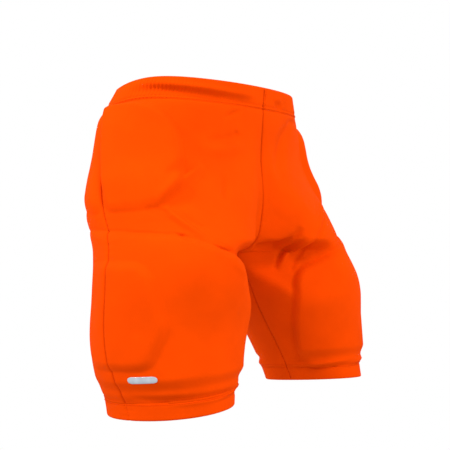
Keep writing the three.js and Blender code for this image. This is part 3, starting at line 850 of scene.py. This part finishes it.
def fold_profile(v, height, tape):
    """Off the form and down from the edge: up the outer face, over the fold, down the inner."""
    radius = fold_thickness(tape) / 2
    straight = height - radius
    arc = math.pi * radius
    s = v * (2 * straight + arc)
    turn = np.clip((s - straight) / radius, 0, math.pi)
    off = -radius + radius * np.cos(turn)
    down = radius - radius * np.sin(turn)
    down = np.where(s < straight, height - s, down)
    down = np.where(s > straight + arc, radius + (s - straight - arc), down)
    return off, down


# %% Relief of the waistband
SLUMPS = {-1: [(-236, 25), (-170, 23), (-110, 21), (-40, 17)], 1: [(-230, 24), (-205, 22)]}
SLUMP = {"wide": 6.0, "lip_wide": 4.0, "lip_up": 10}
SLUMP_HEIGHTS = {-1: (-6.0, 2.4), 1: (-2.5, 1.2)}  # the hollow, and the lip over it
GATHER_EVERY = 5.2
BAND_UNEVEN = (1.1, 38, 11)
BAND_ROWS = (25.5, 29.0)  # where the two rows of stitching run
BAND_GROOVES = [(1.0, 25.5, 1.4), (1.4, 31.6, 1.6)]  # height, place and width


def band_relief(across, down, side):
    hollow_height, lip_height = SLUMP_HEIGHTS[side]
    lip = [(a, d - SLUMP["lip_up"]) for a, d in SLUMPS[side]]
    relief = fold_height(SLUMP["wide"], hollow_height, SLUMPS[side], across, down)
    relief += fold_height(SLUMP["lip_wide"], lip_height, lip, across, down)
    gathered = np.exp(-(((across + 62) / 46) ** 2)) if side < 0 else 0.25
    gather = np.sin(across * 2 * np.pi / GATHER_EVERY + 1.1 * np.sin(across / 17) + down / 40)
    ripple = (0.85 * gathered + 0.4 * ease((across - 10) / 60) + 0.14) * gather
    relief += ripple * np.sin(np.pi * np.clip(down / BAND_HEIGHT, 0, 1)) ** 0.6
    height, size, seed = BAND_UNEVEN
    relief += height * slow_noise(across, down, side, size, seed) * ease(down / 8)
    from_join = across + front_of(down)
    relief -= np.exp(-((from_join / 1.6) ** 2)) * ease(down / 5)
    return relief - sum(h * np.exp(-(((down - d) / w) ** 2)) for h, d, w in BAND_GROOVES)


def whole_band_relief(across, down, side):
    return np.where(side > 0, band_relief(across, down, 1), band_relief(across, down, -1))


def layered(relief, off, full):
    """Relief for a layer of a fold: the layers behind follow the outer one almost fully."""
    return relief * (1 + RELIEF_FADE * off / full)


# %% The waistband
RING_CELLS = {"waistband": (520, 44), "waist_tape": (260, 56), "hem": (220, 34), "hem_tape": (130, 32)}


def round_waist(u):
    """Share of a half, and the side, for a turn round the whole waist."""
    side = np.where(u < 0.5, 1, -1)
    return np.where(u < 0.5, 2 * u, 2 * (1 - u)), side


def waist_layer(share, down, off, side):
    relief = whole_band_relief(across_at(share, down), down, side)
    return on_ring(share, down, off + layered(relief, off, fold_thickness(WAIST_TAPE)), side)


def waistband_place(u, v):
    share, side = round_waist(u)
    off, down = fold_profile(v, BAND_HEIGHT, WAIST_TAPE)
    points, across = waist_layer(share, down, off, side)
    return points, across, np.where(off < -fold_thickness(WAIST_TAPE) / 2, -down, down)


waistband = piece(
    "waistband",
    lay_grid(*RING_CELLS["waistband"], waistband_place, weld=True),
    band_knit,
    FABRIC * 0.8,
)
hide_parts("waistband_casing")
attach(waistband, "pelvis")
print("waistband:", len(waistband.data.polygons), "faces")


# %% The elastics inside the folds
def tape_profile(v, tape):
    """Round the flat section of an elastic, as off the form and down from the edge."""
    near = FABRIC + FOLD_ROOM
    corners = [(0, 0), (0, tape["height"]), (-tape["thick"], tape["height"]), (-tape["thick"], 0)]
    lengths = [0, tape["height"], tape["height"] + tape["thick"]]
    lengths += [2 * tape["height"] + tape["thick"], 2 * tape["height"] + 2 * tape["thick"]]
    s = (1 - v) * lengths[-1]
    path = np.array(corners + [corners[0]], float)
    return np.interp(s, lengths, path[:, 0]) - near, np.interp(s, lengths, path[:, 1]) + near


def waist_tape_place(u, v):
    share, side = round_waist(u)
    off, down = tape_profile(v, WAIST_TAPE)
    return *waist_layer(share, down, off, side), down


tape_grid = lay_grid(*RING_CELLS["waist_tape"], waist_tape_place, weld=True)
waist_tape = piece("waist_tape", tape_grid, elastic)
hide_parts("waist_elastic")
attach(waist_tape, "pelvis")


# %% Hems and their elastics
def hem_piece(side_name):
    side = SIDES[side_name]

    def layer(share, depth, off):
        relief = shell_off(across_at(share, depth), depth, side)
        return on_ring(share, depth, off + layered(relief, off, fold_thickness(HEM_TAPE)), side)

    def place(u, v):
        off, up = fold_profile(v, HEM_HEIGHT, HEM_TAPE)
        depth = LENGTH - up
        points, across = layer(u, depth, off)
        inner = off < -fold_thickness(HEM_TAPE) / 2
        return points, across, np.where(inner, 2 * LENGTH - depth, depth)

    def tape_place(u, v):
        off, up = tape_profile(v, HEM_TAPE)
        return *layer(u, LENGTH - up, off), LENGTH - up

    # v runs up the outer face for the waist, and down it here, so the faces turn round once more
    grid = lay_grid(*RING_CELLS["hem"], place, reverse=side > 0, weld=True)
    hem = piece(f"hem_fold_{side_name}", grid, shell_knit, FABRIC * 0.8)
    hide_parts(f"hem_{side_name}")
    bend_with(hem)
    grid = lay_grid(*RING_CELLS["hem_tape"], tape_place, reverse=side > 0, weld=True)
    tape = piece(f"hem_tape_{side_name}", grid, elastic)
    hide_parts(f"hem_elastic_{side_name}")
    bend_with(tape)
    return hem


hems = [hem_piece(name) for name in SIDES]
print("hems:", [o.name for o in hems])

# %% [markdown]
# ## Stitching
# A stitch is a short, rounded lump of thread. One low sphere, stretched and turned to lie along
# its seam, is enough, because there are over two thousand of them. Geometry nodes could scatter
# them, but a plain loop keeps each row one ordinary mesh.

# %% Lay stitches along a line
THREAD = {"length": 2.3, "width": 0.62, "height": 0.5, "above": 0.1}
LOOK_OUT = 2.0  # a second line this far out of the cloth says which way a stitch faces
STITCH_EVERY = 2.9


def one_stitch():
    """A lump of thread along X, as a mesh that each row copies."""
    bm = bmesh.new()
    bm.loops.layers.uv.new("cloth")
    bmesh.ops.create_uvsphere(bm, u_segments=6, v_segments=4, radius=0.5, calc_uvs=True)
    bmesh.ops.rotate(bm, matrix=Matrix.Rotation(math.pi / 2, 3, "Y"), verts=bm.verts)
    size = Vector((THREAD["length"], THREAD["width"], THREAD["height"])) * MM
    bmesh.ops.scale(bm, vec=size, verts=bm.verts)
    mesh = bpy.data.meshes.new("one stitch")
    bm.to_mesh(mesh)
    bm.free()
    return mesh


STITCH = one_stitch()


def add_stitches(bm, line, outside):
    """line and outside are matching points on the seam and a little way out of the cloth."""
    gaps = np.linalg.norm(np.diff(line, axis=0), axis=1)
    run = np.concatenate([[0], np.cumsum(gaps)])
    places = np.arange(STITCH_EVERY * MM / 2, run[-1], STITCH_EVERY * MM)

    def at(values, where):
        return np.stack([np.interp(where, run, values[:, k]) for k in range(3)], axis=1)

    aheads, behinds = at(line, places + MM), at(line, places - MM)
    for centre, out, a, b in zip(at(line, places), at(outside - line, places), aheads, behinds):
        run_way, out = Vector(a - b).normalized(), Vector(out).normalized()
        side_way = out.cross(run_way).normalized()
        turn = Matrix((run_way, side_way, run_way.cross(side_way))).transposed().to_4x4()
        place = Matrix.Translation(centre) @ turn
        done = len(bm.verts)
        bm.from_mesh(STITCH, face_normals=False, vertex_normals=False)
        bm.verts.ensure_lookup_table()
        for vert in bm.verts[done:]:
            vert.co = place @ vert.co
    return len(places)


# %% Seams of the shell
SEAM_POINTS = 400


def seam_line(across, depth, side, extra):
    off = shell_off(across, depth, side)
    return on_cloth(across, depth, off + extra, side)


def stitch_seam(bm, across, depth, side):
    line = seam_line(across, depth, side, THREAD["above"])
    return add_stitches(bm, line, seam_line(across, depth, side, LOOK_OUT))


RIBBON = {"half_width": 1.6, "sunk": 0.5, "thick": 0.35, "rows": 180}


def thickened(bm):
    everything = bm.faces[:] + bm.edges[:] + bm.verts[:]
    bmesh.ops.solidify(bm, geom=everything, thickness=RIBBON["thick"] * MM)
    return bm


def side_ribbon(depths, side):
    """A narrow strip at the bottom of the side seam's groove, which closes it."""

    def place(u, v):
        depth = mix(depths[-1], depths[0], v)
        across = (u - 0.5) * 2 * RIBBON["half_width"]
        off = shell_off(depth * 0, depth, side) - RIBBON["sunk"]
        return on_cloth(across, depth, off, side), across, depth

    return thickened(lay_grid(2, RIBBON["rows"], place, reverse=side < 0))


def side_seam(side_name):
    side = SIDES[side_name]
    depth = np.linspace(BAND_HEIGHT + 1, LENGTH - 2, SEAM_POINTS)
    bm = side_ribbon(depth, side)
    count = stitch_seam(bm, depth * 0, depth, side)
    made = piece(f"side_seam_thread_{side_name}", bm, thread)
    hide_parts(f"side_seam_{side_name}")
    bend_with(made)
    return count


print("side seam stitches:", [side_seam(name) for name in SIDES])


# %% Inseams
def inseam(side_name):
    side = SIDES[side_name]
    depth = np.linspace(RISE + 2, LENGTH - 2, SEAM_POINTS)
    across = -front_of(depth)
    bm = bmesh.new()
    count = stitch_seam(bm, across, depth, side)
    made = piece(f"inseam_thread_{side_name}", bm, thread)
    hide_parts(f"inseam_{side_name}")
    bend_with(made)
    return count


print("inseam stitches:", [inseam(name) for name in SIDES])


# %% Rise seams, which run down the centre line and meet at the crotch
def rise_ribbon(part, across_of, depths):
    """A narrow strip that closes the gap between the two halves."""

    def place(u, v):
        depth = mix(depths[-1], depths[0], v)
        aside = (u - 0.5) * 2 * RIBBON["half_width"]
        across = across_of(depth) + np.abs(aside) * (1 if part == "front" else -1)
        off = shell_off(across_of(depth), depth, 1) - RIBBON["sunk"]
        return on_cloth(across, depth, off, np.where(aside > 0, 1, -1)), across, depth

    return thickened(lay_grid(4, RIBBON["rows"], place, reverse=part == "back"))


def rise_seam(part, across_of):
    t = np.linspace(1, 0, 500)
    depth = RISE - (RISE - BAND_HEIGHT - 1) * t**1.8
    line = seam_line(across_of(depth), depth, 1, THREAD["above"])
    out = seam_line(across_of(depth), depth, 1, LOOK_OUT)
    line[:, 0] = out[:, 0] = 0
    bm = rise_ribbon(part, across_of, depth[:-12])
    count = add_stitches(bm, line, out)
    made = piece(f"{part}_rise_thread", bm, thread)
    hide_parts(f"{part}_rise_seam")
    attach(made, "pelvis")
    return count


rise_counts = [rise_seam("front", lambda d: -front_of(d)), rise_seam("back", back_of)]
print("rise seam stitches:", rise_counts)


# %% Twin rows round the waistband and the hems
def stitch_ring(bm, share, depth, relief, side, above=THREAD["above"]):
    line, _ = on_ring(share, depth, relief + above, side)
    outside, _ = on_ring(share, depth, relief + LOOK_OUT, side)
    return add_stitches(bm, line, outside)


JOIN_ROW = 2.6  # stitches this far to either side of the join
HEM_THREAD_ABOVE = 0.15


def waist_rows():
    bm = bmesh.new()
    u = np.linspace(0, 1, 1600)
    share, side = round_waist(u)
    count = 0
    for down in BAND_ROWS:
        depth = np.full_like(u, down)
        relief = whole_band_relief(across_at(share, depth), depth, side)
        count += stitch_ring(bm, share, depth, relief, side)
    depth = np.linspace(2, BAND_HEIGHT - 2, 40)
    for side in (1, -1):  # the upright rows at the join in front
        share = JOIN_ROW / (front_of(depth) + back_of(depth))
        relief = band_relief(JOIN_ROW - front_of(depth), depth, side)
        count += stitch_ring(bm, share, depth, relief, side)
    made = piece("waistband_thread", bm, thread)
    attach(made, "pelvis")
    return count


def hem_rows(side_name):
    side = SIDES[side_name]
    bm = bmesh.new()
    share = np.linspace(0, 1, 900)
    count = 0
    for up in (HEM_HEIGHT - 2.2, HEM_HEIGHT + 2.2):
        depth = np.full_like(share, LENGTH - up)
        off = shell_off(across_at(share, depth), depth, side)
        count += stitch_ring(bm, share, depth, off, side, HEM_THREAD_ABOVE)
    made = piece(f"hem_thread_{side_name}", bm, thread)
    bend_with(made)
    return count


print("waist and hem stitches:", waist_rows(), [hem_rows(name) for name in SIDES])

# %% [markdown]
# ## Foam pads
# A pad is cut from sheet foam and its edge is ground to a slope. Its flat cut is laid on the form,
# thickened, and then let swell a little under pressure as cloth, which rounds every edge the way
# soft foam does. The swelling is capped, because the pad has to stay between lining and shell.

# %% Fill an outline with a grid
LINING_FACE = -FABRIC - EASE
PAD_SEAT = LINING_FACE + 0.3
FOAM_SLOPE = 24
FOAM_LEAST = 3.0  # a pad never thins out below this
FOAM_CLEAR = 1.6  # and stays this far below the shell, with room to swell


def fill(outline, u, v, border=0.0):
    """Across and depth in an outline, column by column, and border millimetres beyond it."""
    low, high = outline.min(axis=0), outline.max(axis=0)
    crowded = mix((1 - np.cos(np.pi * u)) / 2, u, 0.35)
    across = np.clip(mix(low[0], high[0], crowded), low[0] + 0.6, high[0] - 0.6)
    top, bottom = np.full_like(u, np.inf), np.full_like(u, -np.inf)
    for (pa, pd), (qa, qd) in zip(outline, np.roll(outline, -1, axis=0)):
        hit = (pa > across) != (qa > across)
        place = np.where(hit, pd + (across - pa) / ((qa - pa) or 1e-9) * (qd - pd), np.nan)
        top, bottom = np.fmin(top, place), np.fmax(bottom, place)
    middle = (top + bottom) / 2
    depth = mix(bottom, top, v)
    across = across + border * np.clip((crowded - 0.5) * 2, -1, 1)
    return across, depth + border * np.clip((depth - middle) / ((bottom - top) / 2 + 1e-9), -1, 1)


def pad_across(kind, across, depth):
    return back_of(depth) - across if kind == "tail" else across


# %% Let a pad swell as cloth
SWELL_FRAMES = 20


def swell(obj, voxel, pressure, cap):
    remesh = obj.modifiers.new("even", "REMESH")
    remesh.mode, remesh.voxel_size = "VOXEL", voxel
    graph = bpy.context.evaluated_depsgraph_get()
    even_mesh = bpy.data.meshes.new_from_object(obj.evaluated_get(graph))
    obj.modifiers.clear()
    obj.data = even_mesh
    rest = np.array([v.co for v in even_mesh.vertices])
    cloth = obj.modifiers.new("swell", "CLOTH")
    cloth.settings.use_pressure = True
    cloth.settings.uniform_pressure_force = pressure
    cloth.settings.effector_weights.gravity = 0
    cloth.point_cache.frame_start, cloth.point_cache.frame_end = 1, SWELL_FRAMES
    for step in range(1, SWELL_FRAMES + 1):
        bpy.context.scene.frame_set(step)
    graph = bpy.context.evaluated_depsgraph_get()
    swollen = np.array([v.co for v in obj.evaluated_get(graph).data.vertices])
    obj.modifiers.clear()
    bpy.context.scene.frame_set(1)
    move = swollen - rest
    far = np.linalg.norm(move, axis=1, keepdims=True)
    rest = rest + move * np.minimum(1, cap / np.maximum(far, 1e-9))
    even_mesh.vertices.foreach_set("co", rest.ravel())
    even_mesh.update()
    return obj


# %% The pads of the right half, their copies for the left, and the tail pad
PAD_VOXEL, PAD_PRESSURE, PAD_CAP = 0.003, 4.0, 0.0012
INSET = 1.2  # a pad starts this much smaller, and swells to size
PAD_CELL = 4


def foam_pad(kind):
    pad = PADS[kind]

    def face(off_of):
        def place(u, v):
            across, depth = fill(pad["outline"], u, v, -INSET)
            off = off_of(inside(pad["outline"], across, depth), thinned(kind, across, depth))
            if kind == "outer":
                off = off + PADS["thigh"]["thick"] * thinned("thigh", across, depth) + EASE
            cloth_across = pad_across(kind, across, depth)
            if kind != "tail":
                shells = [shell_off(cloth_across, depth, side) for side in (1, -1)]
                off = np.minimum(off, np.minimum(*shells) - FABRIC - FOAM_CLEAR)
                return on_cloth(cloth_across, depth, off, -1), across, depth
            side = np.where(across > 0, 1, -1)
            cloth_across = back_of(depth) - np.abs(across)
            return on_cloth(cloth_across, depth, off, side), across, depth

        return place

    def outer_face(d, share):
        full = np.maximum(pad["thick"] * share, FOAM_LEAST)
        return PAD_SEAT + 2.0 + (full - 2.0) * ease(d / FOAM_SLOPE)

    wide, high = np.ptp(pad["outline"], axis=0)
    cells = int(wide / PAD_CELL), int(high / PAD_CELL)
    bm = lay_grid(*cells, face(outer_face))
    under = lay_grid(*cells, face(lambda d, share: PAD_SEAT + 0.2 + d * 0), reverse=True)
    scratch = bpy.data.meshes.new("under")
    under.to_mesh(scratch)
    under.free()
    bm.from_mesh(scratch)
    bpy.data.meshes.remove(scratch)
    rims = [e for e in bm.edges if e.is_boundary]
    bmesh.ops.bridge_loops(bm, edges=rims)
    open_edges = sum(e.is_boundary for e in bm.edges)
    bmesh.ops.recalc_face_normals(bm, faces=bm.faces)
    name = "tail_foam" if kind == "tail" else f"{kind}_foam_right"
    made = piece(name, bm, foam)
    swell(made, PAD_VOXEL, PAD_PRESSURE, PAD_CAP * (0.5 if kind == "outer" else 1))
    made.data.polygons.foreach_set("use_smooth", [True] * len(made.data.polygons))
    print(name, "faces", len(made.data.polygons), "open edges before remeshing", open_edges)
    return made


def left_copy(obj, name):
    """The same pad for the left half, moved as the left leg is set."""
    bm = bmesh.new()
    bm.from_mesh(obj.data)
    points = np.array([v.co for v in bm.verts]) * MIRROR / MM
    for vert, point in zip(bm.verts, set_leg(points, -points[:, 2], 1)):
        vert.co = point
    bmesh.ops.reverse_faces(bm, faces=bm.faces)
    return piece(name, bm, foam)


PAD_FILL = {"hip": 0.8, "rear_hip": 0.8, "thigh": 0.75, "outer": 0.7}
for kind, full in PAD_FILL.items():
    right = foam_pad(kind)
    left = left_copy(right, f"{kind}_foam_left")
    for side_name, made in (("left", left), ("right", right)):
        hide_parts(f"{kind}_pad_{side_name}")
        bend_with(made)
tail = foam_pad("tail")
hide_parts("tail_pad")
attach(tail, "pelvis")

# %% [markdown]
# ## Pocket linings
# Behind each pad a net lining is sewn to the shell round its edge. It lies flat against the pad
# and closes up to the shell at its border, so its offset from the form depends on how near the
# border is.

# %% Linings
LINING = 0.8
SEWN_FACE = -FABRIC - 0.95
POCKET_BORDER = 6
LINING_CELL = 3


def lining(kind, side_name):
    outline = PADS[kind]["outline"]
    side = SIDES.get(side_name, 1)

    def place(u, v):
        across, depth = fill(outline, u, v, POCKET_BORDER)
        sewn = 1 - ease((inside(outline, across, depth) + POCKET_BORDER) / POCKET_BORDER)
        pucker = 0.12 * np.sin((across + depth) * 0.9) * (1 - sewn)
        off = mix(LINING_FACE, SEWN_FACE, sewn) + pucker
        if kind == "tail":
            half = np.where(across > 0, 1, -1)
            return on_cloth(back_of(depth) - np.abs(across), depth, off, half), across, depth
        return on_cloth(across, depth, off, side), across, depth

    wide, high = np.ptp(outline, axis=0)
    turned = (kind == "tail") or side < 0
    cells = int(wide / LINING_CELL), int(high / LINING_CELL)
    bm = lay_grid(*cells, place, reverse=turned)
    suffix = f"_{side_name}" if side_name else ""
    made = piece(f"{kind}_lining{suffix}", bm, net, LINING)
    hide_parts(f"{kind}_pocket{suffix}")
    if side_name:
        bend_with(made)
    else:
        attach(made, "pelvis")
    return made


linings = [lining(k, n) for k in ("hip", "rear_hip", "thigh") for n in SIDES]
linings.append(lining("tail", ""))
print("linings:", [o.name for o in linings])

# %% [markdown]
# ## Reflective bar
# A small printed bar sits above the right hem, so that the wearer shows up in headlights. It is a
# plain rounded bar of film. It is laid on the cloth with the same offsets, so it bends with it.

# %% Reflective bar
BAR = {"width": 36, "height": 8, "across": -40, "up": 50, "thick": 0.35, "above": 0.15}


def bar_place(u, v):
    """A square pulled into a long shape with round ends."""
    x, y = 2 * u - 1, 2 * v - 1
    half_high = BAR["height"] / 2
    straight = BAR["width"] / 2 - half_high
    across = x * straight + half_high * x * np.sqrt(1 - y**2 / 2)
    down = half_high * y * np.sqrt(np.maximum(0, 1 - (x**2) / 2 * ease(np.abs(x) * 4 - 3)))
    across, depth = BAR["across"] + across, LENGTH - BAR["up"] - down
    off = shell_off(across, depth, -1) + BAR["above"] + BAR["thick"]
    return on_cloth(across, depth, off, -1), across, depth


bar = piece(
    "reflective_film", lay_grid(36, 10, bar_place, reverse=True), film, BAR["thick"]
)
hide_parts("reflective_bar")
bend_with(bar)

# %% [markdown]
# ## Studio
# A bright even surround and soft lamps: the strongest from the wearer's right, two from the front
# and a weak one from behind. Soft light from one side shows folds without hard shadows. The camera
# looks at the front right of the shorts from the height of the hips.

# %% Surround
world = bpy.data.worlds.new("surround")
bpy.context.scene.world = world
world.use_nodes = True
world.node_tree.nodes["Background"].inputs["Color"].default_value = (1, 1, 1, 1)
world.node_tree.nodes["Background"].inputs["Strength"].default_value = 1.0
bpy.context.scene.view_settings.view_transform = "Standard"

# %% Lamps
TARGET = Vector((-0.033, -0.021, -0.214))


def lamp(name, azimuth, elevation, distance, size, power):
    """azimuth as for the camera: 0 is in front of the wearer, negative to the wearer's right."""
    a, e = math.radians(azimuth), math.radians(elevation)
    way = Vector((math.sin(a) * math.cos(e), -math.cos(a) * math.cos(e), math.sin(e)))
    light = bpy.data.lights.new(name, "AREA")
    light.shape, light.size, light.energy = "DISK", size, power
    obj = bpy.data.objects.new(name, light)
    bpy.context.scene.collection.objects.link(obj)
    obj.location = TARGET + way * distance
    obj.rotation_mode = "QUATERNION"
    obj.rotation_quaternion = (-way).to_track_quat("-Z", "Y")


lamp("key", -115, 35, 1.8, 0.5, 26)
lamp("front", -30, 50, 2.0, 0.6, 19)
lamp("side", 15, 15, 2.0, 0.6, 15)
lamp("rim", 120, 40, 2.2, 1.0, 8)

# %% Camera
AZIMUTH, ELEVATION, DISTANCE = math.radians(-49.96), math.radians(0.48), 1.2083
back_way = Vector(
    (
        math.sin(AZIMUTH) * math.cos(ELEVATION),
        -math.cos(AZIMUTH) * math.cos(ELEVATION),
        math.sin(ELEVATION),
    )
)
camera_data = bpy.data.cameras.new("camera")
camera_data.sensor_width, camera_data.lens = 36, 68.8
camera_data.shift_x, camera_data.shift_y = 0.0456, 0.026
camera = bpy.data.objects.new("camera", camera_data)
bpy.context.scene.collection.objects.link(camera)
camera.location = TARGET + back_way * DISTANCE
camera.rotation_mode = "QUATERNION"
camera.rotation_quaternion = (-back_way).to_track_quat("-Z", "Y")
bpy.context.scene.camera = camera
